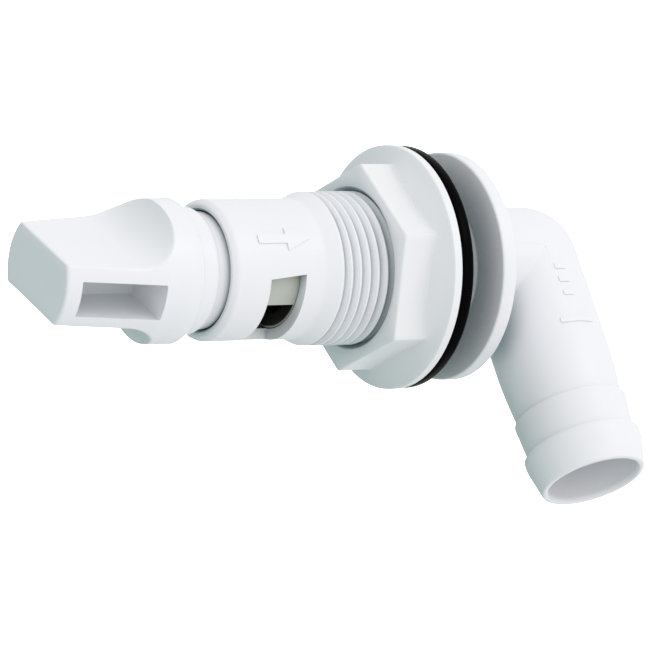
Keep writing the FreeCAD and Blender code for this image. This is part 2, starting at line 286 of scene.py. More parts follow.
@dataclass(frozen=True)
class Thread:
    """Straight pipe thread with sixty degree flanks.

    Args:
        pitch: Distance between crests, mm.
        crest_x: A crest centre at angle zero, mm.
        root_r: Root radius, mm.
        crest_r: Crest radius, mm.
        crest_width: Flat width of the crest, mm.
        soft: Rounding of crest and root corners, mm.
    """

    pitch: float = 1.8143
    crest_x: float = -28.0 - 1.8143 / 2
    root_r: float = 12.2
    crest_r: float = 13.335
    crest_width: float = 0.34
    soft: float = 0.07

    def grown(self, gap: float, root_r: float) -> "Thread":
        """Same thread with the flanks and the crest moved out.

        Args:
            gap: Clearance added, mm.
            root_r: New root radius, mm.

        Returns:
            A thread that cuts a matching nut.
        """
        return Thread(self.pitch, self.crest_x, root_r, self.crest_r + gap, self.crest_width + 2 * gap, 0.0)

    def rod(self, x0: float, x1: float, segments: int = SEGMENTS) -> Shape:
        """Closed threaded rod.

        Args:
            x0: Start of the rod, mm.
            x1: End of the rod, mm.
            segments: Steps in one turn.

        Returns:
            The rod as an object.
        """
        half = self.crest_width / 2
        run = (self.crest_r - self.root_r) * math.tan(math.radians(30))
        ahead = math.ceil((self.crest_x - x0) / self.pitch) + 2
        first = self.crest_x - ahead * self.pitch
        turns = math.ceil((x1 - first) / self.pitch) + 1
        bm = bmesh.new()
        draw_outline(
            bm,
            [
                Corner(first - self.pitch / 2, self.root_r),
                Corner(first - half - run, self.root_r, self.soft),
                Corner(first - half, self.crest_r, self.soft),
                Corner(first + half, self.crest_r, self.soft),
                Corner(first + half + run, self.root_r, self.soft),
                Corner(first + self.pitch / 2, self.root_r),
            ],
        )
        bmesh.ops.spin(
            bm, geom=bm.verts[:] + bm.edges[:], cent=(0, 0, 0), axis=(1, 0, 0),
            dvec=(self.pitch / segments, 0, 0), angle=2 * math.pi, steps=segments,
            use_merge=False, use_normal_flip=False, use_duplicate=False,
        )
        one_turn = bm.verts[:] + bm.edges[:] + bm.faces[:]
        for turn in range(1, turns):
            copy = bmesh.ops.duplicate(bm, geom=one_turn)["geom"]
            bmesh.ops.translate(
                bm, vec=(turn * self.pitch, 0, 0), verts=new_verts(copy)
            )
        bmesh.ops.remove_doubles(bm, verts=bm.verts[:], dist=SEAM)
        for x, normal in ((x0, (-1, 0, 0)), (x1, (1, 0, 0))):
            bmesh.ops.bisect_plane(
                bm, geom=bm.verts[:] + bm.edges[:] + bm.faces[:], dist=1e-6, plane_co=(x, 0, 0),
                plane_no=normal, clear_outer=True,
            )
        bmesh.ops.remove_doubles(bm, verts=bm.verts[:], dist=SEAM)
        bmesh.ops.dissolve_degenerate(bm, dist=MERGE, edges=bm.edges[:])
        bmesh.ops.holes_fill(bm, edges=[e for e in bm.edges if e.is_boundary], sides=0)
        face_out(bm)
        return shape_from(bm, "threaded_rod")


# ---- finishes --------------------------------------------------------------------------------------


def linear(code: str) -> tuple[float, float, float, float]:
    """Linear colour of an sRGB hex code.

    Args:
        code: Six hex digits.

    Returns:
        Red, green, blue and one.
    """
    parts = [int(code[i : i + 2], 16) / 255 for i in (0, 2, 4)]
    return (*[p / 12.92 if p <= 0.04045 else ((p + 0.055) / 1.055) ** 2.4 for p in parts], 1.0)


def add_node(tree: Tree, kind: str, links: tuple | list = (), settings: tuple | list = (), **values: float) -> Node:
    """Adds one node with its values, settings and incoming links.

    Args:
        tree: Node tree.
        kind: Node type.
        links: Pairs of input name and output socket.
        settings: Pairs of property name and value.
        values: Input values by name, with _ for a space.

    Returns:
        The node.
    """
    node = tree.nodes.new(kind)
    for name, value in settings:
        setattr(node, name, value)
    for name, value in values.items():
        node.inputs[name.replace("_", " ")].default_value = value
    for name, socket in links:
        tree.links.new(socket, node.inputs[name])
    return node


@dataclass(frozen=True)
class PlasticFinish:
    """Injection-moulded plastic with a fine sparked grain.

    Args:
        name: Material name.
        colour: Main sRGB colour.
        tint: Second sRGB colour of the slow clouding.
        crease_shade_colour: sRGB colour of the dirt kept in creases.
        roughness: Surface roughness.
        grain_mm: Size of the mould grain, mm.
        grain_height: Height of the grain, mm.
        crease_shade_share: How much painted shade the creases keep.
        crease_mm: How far the painted crease shade reaches, mm.
        dark_inside: Radius in mm and sRGB colour of the painted shade inside the waterway, or nothing.
    """

    name: str
    colour: str
    tint: str
    crease_shade_colour: str
    roughness: float
    grain_mm: float
    grain_height: float
    crease_shade_share: float
    crease_mm: float = 14.0
    dark_inside: tuple = ()

    def paint_inside_shade(self, tree: Tree, place: Node, colour: Socket) -> Socket:
        """Paints near-black shade on the surface inside a radius round the main axis, where the waterway lies in
        shade.

        Args:
            tree: Node tree.
            place: Texture coordinate node.
            colour: Colour socket of the plastic before the painted shade.

        Returns:
            Colour socket.
        """
        # Painted shade: inside the radius the colour turns near-black, standing in for the dark of the unlit bore.
        radius, inside_shade = self.dark_inside
        off_axis = add_node(
            tree, "ShaderNodeVectorMath", [(0, place.outputs["Object"])], [("operation", "MULTIPLY")]
        )
        off_axis.inputs[1].default_value = (0, 1, 1)
        reach = add_node(
            tree, "ShaderNodeVectorMath", [(0, off_axis.outputs["Vector"])], [("operation", "LENGTH")]
        )
        share = add_node(
            tree, "ShaderNodeMapRange", [("Value", reach.outputs["Value"])],
            **{"From_Min": (radius - 0.25) * MM, "From_Max": radius * MM, "To_Min": 1.0, "To_Max": 0.0},
        )
        mixed = add_node(
            tree, "ShaderNodeMix", [("Factor", share.outputs["Result"])], [("data_type", "RGBA")]
        )
        tree.links.new(colour, mixed.inputs[6])
        mixed.inputs[7].default_value = linear(inside_shade)
        return mixed.outputs[2]

    def material(self) -> Material:
        """Builds the material.

        Returns:
            The Blender material.
        """
        material = bpy.data.materials.new(self.name)
        material.use_nodes = True
        tree = material.node_tree
        shader = tree.nodes["Principled BSDF"]
        place = add_node(tree, "ShaderNodeTexCoord")
        cloud = add_node(
            tree, "ShaderNodeTexNoise", [("Vector", place.outputs["Object"])], Scale=1000 / 14, Detail=3.0
        )
        tone = add_node(
            tree, "ShaderNodeMix", [("Factor", cloud.outputs["Fac"])], [("data_type", "RGBA")]
        )
        tone.inputs[6].default_value = linear(self.colour)
        tone.inputs[7].default_value = linear(self.tint)
        # Painted shade: ambient occlusion darkens creases, gaps and recesses toward the teal shade colour, standing
        # in for the shade that falls there.
        crease = add_node(tree, "ShaderNodeAmbientOcclusion", settings=[("samples", 6)], Distance=self.crease_mm * MM)
        depth = add_node(
            tree, "ShaderNodeMapRange", [("Value", crease.outputs["AO"])],
            **{"From_Min": 0.1, "From_Max": 0.55, "To_Min": self.crease_shade_share, "To_Max": 0.0},
        )
        crease_shaded = add_node(
            tree, "ShaderNodeMix", [("Factor", depth.outputs["Result"])], [("data_type", "RGBA")]
        )
        tree.links.new(tone.outputs[2], crease_shaded.inputs[6])
        crease_shaded.inputs[7].default_value = linear(self.crease_shade_colour)
        surface = self.paint_inside_shade(tree, place, crease_shaded.outputs[2]) if self.dark_inside else crease_shaded.outputs[2]
        tree.links.new(surface, shader.inputs["Base Color"])
        scuff = add_node(
            tree, "ShaderNodeTexNoise", [("Vector", place.outputs["Object"])], Scale=1000 / 2.6, Detail=4.0
        )
        sheen = add_node(
            tree, "ShaderNodeMapRange", [("Value", scuff.outputs["Fac"])],
            **{"From_Min": 0.3, "From_Max": 0.7, "To_Min": self.roughness - 0.04, "To_Max": self.roughness + 0.06},
        )
        tree.links.new(sheen.outputs["Result"], shader.inputs["Roughness"])
        grain = add_node(
            tree, "ShaderNodeTexNoise", [("Vector", place.outputs["Object"])],
            Scale=1000 / self.grain_mm, Detail=2.0,
        )
        bump = add_node(
            tree, "ShaderNodeBump", [("Height", grain.outputs["Fac"])],
            Strength=0.35, Distance=self.grain_height * MM,
        )
        tree.links.new(bump.outputs["Normal"], shader.inputs["Normal"])
        shader.inputs["IOR"].default_value = 1.49
        shader.inputs["Subsurface Weight"].default_value = 0.08
        shader.inputs["Subsurface Radius"].default_value = (1.0, 0.95, 0.9)
        shader.inputs["Subsurface Scale"].default_value = 0.0012
        return material


@dataclass(frozen=True)
class RubberFinish:
    """Moulded black rubber with a faint bloom.

    Args:
        name: Material name.
        colour: sRGB colour.
        bloom: sRGB colour of the wax bloom.
        roughness: Surface roughness.
        coat: Weight of the smooth skin or grease.
        gloss: Strength of the surface reflection.
    """

    name: str
    colour: str
    bloom: str
    roughness: float
    coat: float
    gloss: float

    def material(self) -> Material:
        """Builds the material.

        Returns:
            The Blender material.
        """
        material = bpy.data.materials.new(self.name)
        material.use_nodes = True
        tree = material.node_tree
        shader = tree.nodes["Principled BSDF"]
        place = add_node(tree, "ShaderNodeTexCoord")
        patch = add_node(
            tree, "ShaderNodeTexNoise", [("Vector", place.outputs["Object"])], Scale=1000 / 5.0, Detail=5.0
        )
        share = add_node(
            tree, "ShaderNodeMapRange", [("Value", patch.outputs["Fac"])],
            **{"From_Min": 0.5, "From_Max": 0.8, "To_Min": 0.0, "To_Max": 0.5},
        )
        tone = add_node(
            tree, "ShaderNodeMix", [("Factor", share.outputs["Result"])], [("data_type", "RGBA")]
        )
        tone.inputs[6].default_value = linear(self.colour)
        tone.inputs[7].default_value = linear(self.bloom)
        tree.links.new(tone.outputs[2], shader.inputs["Base Color"])
        shader.inputs["Roughness"].default_value = self.roughness
        shader.inputs["Coat Weight"].default_value = self.coat
        shader.inputs["Coat Roughness"].default_value = 0.12
        shader.inputs["Specular IOR Level"].default_value = self.gloss
        grain = add_node(
            tree, "ShaderNodeTexNoise", [("Vector", place.outputs["Object"])], Scale=1000 / 0.3, Detail=2.0
        )
        bump = add_node(
            tree, "ShaderNodeBump", [("Height", grain.outputs["Fac"])], Strength=0.3, Distance=0.02 * MM
        )
        tree.links.new(bump.outputs["Normal"], shader.inputs["Normal"])
        return material


@dataclass(frozen=True)
class SteelFinish:
    """Bright turned stainless steel.

    Args:
        name: Material name.
        colour: sRGB colour.
        roughness: Surface roughness.
        line_mm: Spacing of the turning lines, mm.
    """

    name: str
    colour: str
    roughness: float
    line_mm: float

    def material(self) -> Material:
        """Builds the material.

        Returns:
            The Blender material.
        """
        material = bpy.data.materials.new(self.name)
        material.use_nodes = True
        tree = material.node_tree
        shader = tree.nodes["Principled BSDF"]
        place = add_node(tree, "ShaderNodeTexCoord")
        lines = add_node(
            tree, "ShaderNodeTexWave", [("Vector", place.outputs["Object"])],
            [("bands_direction", "X")], Scale=1000 / (self.line_mm * 20), Distortion=1.5,
        )
        sheen = add_node(
            tree, "ShaderNodeMapRange", [("Value", lines.outputs["Fac"])],
            **{"To_Min": self.roughness - 0.05, "To_Max": self.roughness + 0.08},
        )
        tree.links.new(sheen.outputs["Result"], shader.inputs["Roughness"])
        shader.inputs["Base Color"].default_value = linear(self.colour)
        shader.inputs["Metallic"].default_value = 1.0
        return material


class Finishes:
    """Every finish of the object, built once.

    The white parts are impact-modified plastic moulded in spark-eroded tools; the spool is natural
    acetal; the gasket is glossy nitrile rubber; the O-rings are greased nitrile; the screw and the
    retaining ring are stainless steel.
    """

    def __init__(self) -> None:
        """Builds the materials."""
        # Impact-modified plastic, injection moulded: soft satin white, teal shade deep in the gaps.
        shade = "2C666E"
        self.body = PlasticFinish(
            "moulded_white_body_plastic", "EFEFF1", "EBEBEE", shade, 0.42, 0.22, 0.010, 0.85
        ).material()
        self.nut = PlasticFinish(
            "moulded_white_nut_plastic", "F0F0F1", "EAEBED", shade, 0.40, 0.20, 0.009, 0.85
        ).material()
        self.knob = PlasticFinish(
            "moulded_white_knob_plastic", "F0F0F2", "EBECEF", shade, 0.38, 0.24, 0.010, 0.20
        ).material()
        # Natural acetal, as moulded: milky grey-green, painted dark inside the waterway as shade.
        self.acetal = PlasticFinish(
            "natural_acetal_spool", "C2CBC6", "B4B3A2", "4A4A40", 0.46, 0.30, 0.008, 0.8, 8.0,
            dark_inside=(9.9, "1B1915"),
        ).material()
        # Moulded nitrile: deep black with a smooth skin; the O-rings shine with grease.
        self.gasket = RubberFinish("glossy_black_nitrile_gasket", "030304", "08090A", 0.24, 0.0, 0.02).material()
        self.o_ring = RubberFinish("greased_nitrile_o_ring", "0A0A0A", "1A1A18", 0.38, 0.8, 0.4).material()
        # Turned stainless steel: bright, with fine rings from the tool.
        self.steel = SteelFinish("bright_turned_stainless", "C8C9C6", 0.24, 0.25).material()


# ---- pieces ----------------------------------------------------------------------------------------


def finish_piece(obj: Shape, name: str, material: Material, body: str, node: str) -> None:
    """Scales a piece to metres, shades it, dresses it and hands it to the frame.

    Args:
        obj: The finished shape in millimetres.
        name: Piece name.
        material: Its finish.
        body: Frame body it rides on.
        node: CAD node it stands for.
    """
    obj.name = name
    obj.data.name = name
    obj.data.transform(Matrix.Scale(MM, 4))
    obj.data.materials.clear()
    obj.data.materials.append(material)
    obj.data.polygons.foreach_set("material_index", [0] * len(obj.data.polygons))
    obj.data.shade_smooth()
    obj.data.set_sharp_from_angle(angle=SHARP_ANGLE)
    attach(obj, body)
    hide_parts(node)
    log.info("%s: %d faces", name, len(obj.data.polygons))


@dataclass
class HullMoulding:
    """One white moulding: slotted sleeve, thread, shank, flange, elbow and barbed hose tail."""

    mouth_x: float = -49.8
    sleeve_r: float = 12.15
    mouth_bevel: float = 0.8
    cone_x: float = -31.5
    thread_x: float = -28.6
    thread_end_x: float = -7.3
    thread_tip_r: float = 13.3
    root_r: float = 12.2
    shank_r: float = 12.1
    bore_r: float = 10.2
    bore_step_x: float = -29.6
    waterway_r: float = 8.6
    groove_x: float = -45.75
    groove_r: float = 10.9
    groove_w: float = 1.2
    flange_r: float = 20.0
    flange_t: float = 2.8
    pipe_r: float = 10.25
    join_x: float = 6.6
    tail_x: float = 17.9
    tail_start_y: float = -11.5
    tail_taper_y: float = -22.0
    stem_r: float = 9.55
    barb1_y: float = -29.6
    barb1_r: float = 10.2
    barb2_y: float = -36.4
    barb2_r: float = 10.55
    tail_end_y: float = -43.2
    tail_end_r: float = 9.3
    tail_bore_r: float = 8.1
    window_x: tuple = (-42.5, -35.4)
    window_a: tuple = (37.3, 125.0)
    window_slant: float = 3.7

    def straight_part(self) -> Skin:
        """Skin of the straight part from the elbow's bore out of the mouth and back to the elbow.

        Returns:
            Mesh being built, open at the elbow.
        """
        half = self.groove_w / 2
        return turned_skin(
            [
                Corner(self.join_x, self.waterway_r),
                Corner(self.bore_step_x, self.waterway_r, 0.15),
                Corner(self.bore_step_x, self.bore_r),
                Corner(self.groove_x + half, self.bore_r),
                Corner(self.groove_x + half, self.groove_r),
                Corner(self.groove_x - half, self.groove_r),
                Corner(self.groove_x - half, self.bore_r),
                Corner(self.mouth_x + 0.4, self.bore_r, 0.1),
                Corner(self.mouth_x, self.bore_r + 0.4, 0.1),
                Corner(self.mouth_x, self.sleeve_r - self.mouth_bevel, 0.2),
                Corner(self.mouth_x + self.mouth_bevel, self.sleeve_r, 0.35),
                Corner(self.cone_x, self.sleeve_r, 0.5),
                Corner(self.thread_x - 0.3, self.thread_tip_r, 0.12),
                Corner(self.thread_x + 0.1, self.thread_tip_r, 0.12),
                Corner(self.thread_x + 0.75, self.root_r - 0.02, 0.12),
                Corner(self.thread_end_x + 1.0, self.root_r - 0.02),
                Corner(self.thread_end_x + 1.2, self.shank_r),
                Corner(0.0, self.shank_r, 0.35),
                Corner(0.0, self.flange_r, 0.4),
                Corner(self.flange_t, self.flange_r, 0.4),
                Corner(self.flange_t, self.pipe_r, 0.7),
                Corner(self.join_x, self.pipe_r),
            ]
        )

    def bend(self, radius: float, segments: int = SEGMENTS, steps: int = 32) -> Skin:
        """Right-angle bend with a round outside corner and a mitred inside corner.

        Args:
            radius: Pipe radius, mm.
            segments: Steps round the pipe.
            steps: Steps round the corner.

        Returns:
            Mesh being built, open at both ends.
        """
        bm = bmesh.new()
        bmesh.ops.create_circle(
            bm, cap_ends=False, radius=radius, segments=segments,
            matrix=Matrix.Translation((self.join_x, 0, 0)) @ Matrix.Rotation(math.pi / 2, 4, "Y"),
        )
        rings = [(self.tail_x, 0.0)] + [(self.tail_x, math.pi / 2 * k / steps) for k in range(1, steps + 1)]
        edges = bm.edges[:]
        home = {v: (v.co.y, v.co.z) for v in bm.verts}
        for centre, turn in rings + [(self.tail_x, None)]:
            grown = bmesh.ops.extrude_edge_only(bm, edges=edges)["geom"]
            edges = [g for g in grown if isinstance(g, bmesh.types.BMEdge)]
            fresh = {g for g in grown if isinstance(g, bmesh.types.BMVert)}
            home = {
                edge.other_vert(old): place
                for old, place in home.items()
                for edge in old.link_edges
                if edge.other_vert(old) in fresh
            }
            for vert, (y, z) in home.items():
                if turn is None:
                    vert.co = (centre + y, self.tail_start_y, z)
                elif y > 0:
                    vert.co = (centre + y * math.sin(turn), y * math.cos(turn), z)
                else:
                    vert.co = (centre + y, y, z)
        return bm

    def hose_tail(self) -> Skin:
        """Skin of the barbed tail from the bend over the barbs and back up its bore.

        Returns:
            Mesh being built, open at the bend.
        """
        outline = [
            Corner(self.tail_start_y, self.pipe_r),
            Corner(self.tail_taper_y, self.pipe_r - 0.02, 3.0),
            Corner(self.barb1_y, self.stem_r, 0.05),
            Corner(self.barb1_y, self.barb1_r, 0.14),
            Corner(self.barb2_y, self.stem_r + 0.1, 0.05),
            Corner(self.barb2_y, self.barb2_r, 0.16),
            Corner(self.barb2_y - 1.35, self.barb2_r, 0.5),
            Corner(self.tail_end_y, self.tail_end_r, 0.32),
            Corner(self.tail_end_y, self.tail_bore_r + 0.35, 0.2),
            Corner(self.tail_end_y + 0.7, self.tail_bore_r, 0.3),
            Corner(self.tail_start_y - 12, self.tail_bore_r, 2.0),
            Corner(self.tail_start_y, self.waterway_r),
        ]
        bm = turned_skin(outline)
        turn = Matrix.Rotation(math.pi / 2, 4, "Z")
        bmesh.ops.transform(bm, matrix=Matrix.Translation((self.tail_x, 0, 0)) @ turn, verts=bm.verts[:])
        return bm

    def shell(self) -> Shape:
        """Watertight skin of the whole moulding without thread, window and marks.

        Returns:
            The shell as an object.
        """
        bm = self.straight_part()
        add_skin(bm, self.bend(self.pipe_r))
        add_skin(bm, self.bend(self.waterway_r))
        add_skin(bm, self.hose_tail())
        bmesh.ops.remove_doubles(bm, verts=bm.verts[:], dist=5e-3)
        bmesh.ops.dissolve_degenerate(bm, dist=1e-4, edges=bm.edges[:])
        mitre = [
            e for e in bm.edges
            if len(e.link_faces) == 2 and e.calc_face_angle(0.0) > math.radians(12)
            and all(
                abs(v.co.x - self.tail_x - v.co.y) < 0.02
                and v.co.y < -0.5
                and abs(v.co.yz.length - self.pipe_r) < 0.02
                for v in e.verts
            )
        ]
        bmesh.ops.bevel(
            bm, geom=mitre, offset=0.7, offset_type="OFFSET", segments=3, profile=0.5, affect="EDGES",
            clamp_overlap=True, material=-1,
        )
        open_edges = sum(1 for e in bm.edges if not e.is_manifold)
        log.info("hull shell: %d edges that are not closed", open_edges)
        face_out(bm)
        return shape_from(bm, "hull_shell")

    def thread_tube(self) -> Shape:
        """Raised thread as a closed tube sunk in the shank.

        Returns:
            The tube as an object.
        """
        rod = Thread().rod(self.thread_x + 0.45, self.thread_end_x)
        core = bmesh.new()
        bmesh.ops.create_cone(
            core, cap_ends=True, segments=SEGMENTS, radius1=10.9, radius2=10.9, depth=60,
            matrix=Matrix.Translation((-18, 0, 0)) @ Matrix.Rotation(math.pi / 2, 4, "Y"),
        )
        return put_together(rod, shape_from(core, "core"), Join.CUT)

    def arrow(
        self, x0: float = -44.5, x1: float = -34.0, half: float = 2.2, height: float = 0.22, degrees: float = 4.0
    ) -> Shape:
        """Raised flow arrow that follows the sleeve.

        Args:
            x0: Tail of the arrow, mm.
            x1: Point of the arrow, mm.
            half: Half width of the head, mm.
            height: How far it stands out, mm.
            degrees: Place round the sleeve.

        Returns:
            The arrow as an object.
        """
        neck = x1 - 2.2 * half
        stem = half * 0.38
        bm = bmesh.new()
        plan = [(x0, -stem), (neck, -stem), (neck, -half), (x1, 0), (neck, half), (neck, stem), (x0, stem)]
        face = bm.faces.new([bm.verts.new((x, y, 8.0)) for x, y in plan])
        bmesh.ops.bevel(
            bm, geom=face.verts[:], offset=0.25, offset_type="OFFSET", segments=3, profile=0.5,
            affect="VERTICES", clamp_overlap=True, material=-1,
        )
        grown = bmesh.ops.extrude_face_region(bm, geom=bm.faces[:])["geom"]
        bmesh.ops.translate(bm, vec=(0, 0, 8), verts=new_verts(grown))
        bmesh.ops.rotate(
            bm, cent=(0, 0, 0), matrix=Matrix.Rotation(math.radians(degrees), 3, "X"), verts=bm.verts[:]
        )
        face_out(bm)
        prism = shape_from(bm, "arrow")
        top = self.sleeve_r + height
        band = [Corner(x0 - 1, 11.2), Corner(x1 + 1, 11.2), Corner(x1 + 1, top), Corner(x0 - 1, top)]
        ring = turned_skin(band, closed=True)
        face_out(ring)
        return put_together(prism, shape_from(ring, "band"), Join.KEEP_COMMON)

    def window_wedge(self) -> Shape:
        """Wedge that makes the window's upper edge run up toward the thread.

        Returns:
            The wedge as an object.
        """
        rise = self.sleeve_r * math.tan(math.radians(self.window_slant))
        x0, x1 = self.window_x
        bm = bmesh.new()
        plan = [(x0, -0.3), (x0, 0.0), (x1, rise), (x1, -0.3)]
        bm.faces.new([bm.verts.new((x, y, 9.0)) for x, y in plan])
        grown = bmesh.ops.extrude_face_region(bm, geom=bm.faces[:])["geom"]
        bmesh.ops.translate(bm, vec=(0, 0, 8), verts=new_verts(grown))
        bmesh.ops.rotate(
            bm, cent=(0, 0, 0), matrix=Matrix.Rotation(math.radians(self.window_a[0]), 3, "X"), verts=bm.verts[:]
        )
        face_out(bm)
        return shape_from(bm, "window_wedge")

    def tail_bars(self) -> list[Shape]:
        """Raised bars across the marked side of the hose tail.

        Returns:
            List of bars as objects.
        """
        bars = []
        for y, half in ((-6.0, 1.1), (-8.6, 1.1), (-11.2, 1.1), (-16.5, 3.4)):
            box = soft_box((2 * half, 1.0, 6), Matrix.Translation((self.tail_x, y, 9.0)), 0.2)
            top = self.pipe_r + 0.2
            band = [Corner(y - 2, 9.4), Corner(y + 2, 9.4), Corner(y + 2, top), Corner(y - 2, top)]
            ring = turned_skin(band, closed=True)
            bmesh.ops.transform(
                ring, matrix=Matrix.Translation((self.tail_x, 0, 0)) @ Matrix.Rotation(math.pi / 2, 4, "Z"),
                verts=ring.verts[:],
            )
            face_out(ring)
            bars.append(put_together(box, shape_from(ring, "band"), Join.KEEP_COMMON))
        return bars

    def build(self, finishes: Finishes) -> None:
        """Builds and dresses the moulding.

        Args:
            finishes: The finishes.
        """
        body = put_together(self.shell(), self.thread_tube(), Join.UNITE)
        window = sector_block(*self.window_x, 9.0, 16.0, *self.window_a)
        body = put_together(put_together(body, window, Join.CUT), self.window_wedge(), Join.CUT)
        stop = sector_block(self.bore_step_x - 1.9, self.bore_step_x + 0.5, 8.7, self.bore_r + 0.3, 264.0, 276.0)
        body = put_together(body, stop, Join.UNITE)
        for mark in [self.arrow()] + self.tail_bars():
            body = put_together(body, mark, Join.UNITE)
        finish_piece(body, "moulded_hull_body", finishes.body, "hull", "hull_body")


@dataclass
class FlangedNut:
    """White hexagon nut with a conical flange and an internal thread."""

    x0: float = -18.8
    x1: float = -9.5
    across_flats: float = 32.0
    minor_r: float = 12.5
    rim_r: float = 21.3
    rim_x: float = -11.2
    cone_r: float = 16.0
    cone_x: float = -12.9
    corner_angle: float = 11.6
    segments: int = 240

    def outside(self, x: float, angle: float) -> float:
        """Outside radius of the nut.

        Args:
            x: Place along the axis, mm.
            angle: Angle from a hexagon corner, radians.

        Returns:
            Radius, mm.
        """
        step = math.pi / 3
        near = (angle + step / 2) % step - step / 2
        flat = self.across_flats / 2 / math.cos(step / 2 - abs(near))
        corner = self.across_flats / math.sqrt(3)
        flat = smooth_min(flat, corner - 0.12, 0.3)
        crown = corner - 0.5 + (x - self.x0) * 1.7
        hexagon = smooth_min(flat, crown, 0.25) - 0.3 * max(0.0, 1 - (x - self.x0) / 0.3) ** 2
        if x < self.cone_x:
            return hexagon
        cone = self.cone_r + (self.rim_r - 0.1 - self.cone_r) * (x - self.cone_x) / (self.rim_x - self.cone_x)
        cone = smooth_min(cone, self.rim_r, 0.3)
        tail = max(0.0, x - (self.x1 - 0.3)) / 0.3
        return smooth_max(hexagon, cone, 0.35) - 0.3 * (1 - math.sqrt(max(0.0, 1 - tail * tail)))

    def build(self, finishes: Finishes) -> None:
        """Builds and dresses the nut.

        Args:
            finishes: The finishes.
        """
        lead = 1.6
        stations = [self.x0, self.x0 + 0.08, self.x0 + 0.18, self.x0 + 0.3]
        stations += [self.x0 + 0.5 + 0.25 * k for k in range(int((self.cone_x - self.x0 - 0.6) / 0.25) + 1)]
        stations += [self.cone_x + 0.12 * k for k in range(int((self.x1 - 0.35 - self.cone_x) / 0.12) + 1)]
        stations += [self.x1 - 0.3 + 0.3 * math.sin(math.pi / 2 * k / 4) for k in range(5)]
        corners = [Corner(x, 20.0) for x in stations]
        corners += [
            Corner(self.x1, self.minor_r + lead, 0.15),
            Corner(self.x1 - lead, self.minor_r, 0.1),
            Corner(self.x0 + lead, self.minor_r, 0.1),
            Corner(self.x0, self.minor_r + lead, 0.15),
        ]
        bm = turned_skin(corners, closed=True, segments=self.segments)
        for vert in bm.verts:
            radius = vert.co.yz.length
            if radius > 19.9:
                angle = math.atan2(-vert.co.y, vert.co.z)
                vert.co.yz = vert.co.yz * (self.outside(vert.co.x, angle) / radius)
        bmesh.ops.rotate(
            bm, cent=(0, 0, 0), matrix=Matrix.Rotation(math.radians(self.corner_angle), 3, "X"),
            verts=bm.verts[:],
        )
        face_out(bm)
        nut = shape_from(bm, "nut")
        tap = Thread().grown(0.13, 12.0).rod(self.x0 - 1.5, self.x1 + 1.5)
        nut = put_together(nut, tap, Join.CUT)
        finish_piece(nut, "moulded_flange_nut", finishes.nut, "nut", "flange_nut")


@dataclass
class RubberGasket:
    """Glossy black ring with rounded edges."""

    x0: float = -9.45
    x1: float = -6.9
    r: float = 21.2
    bore_r: float = 13.55

    def build(self, finishes: Finishes) -> None:
        """Builds and dresses the gasket.

        Args:
            finishes: The finishes.
        """
        bm = turned_skin(
            [
                Corner(self.x0, self.bore_r, 0.2),
                Corner(self.x1, self.bore_r, 0.2),
                Corner(self.x1, self.r, 0.7),
                Corner(self.x0, self.r, 0.7),
            ],
            closed=True,
        )
        face_out(bm)
        ring = shape_from(bm, "gasket")
        finish_piece(ring, "moulded_hull_gasket", finishes.gasket, "gasket", "hull_gasket")


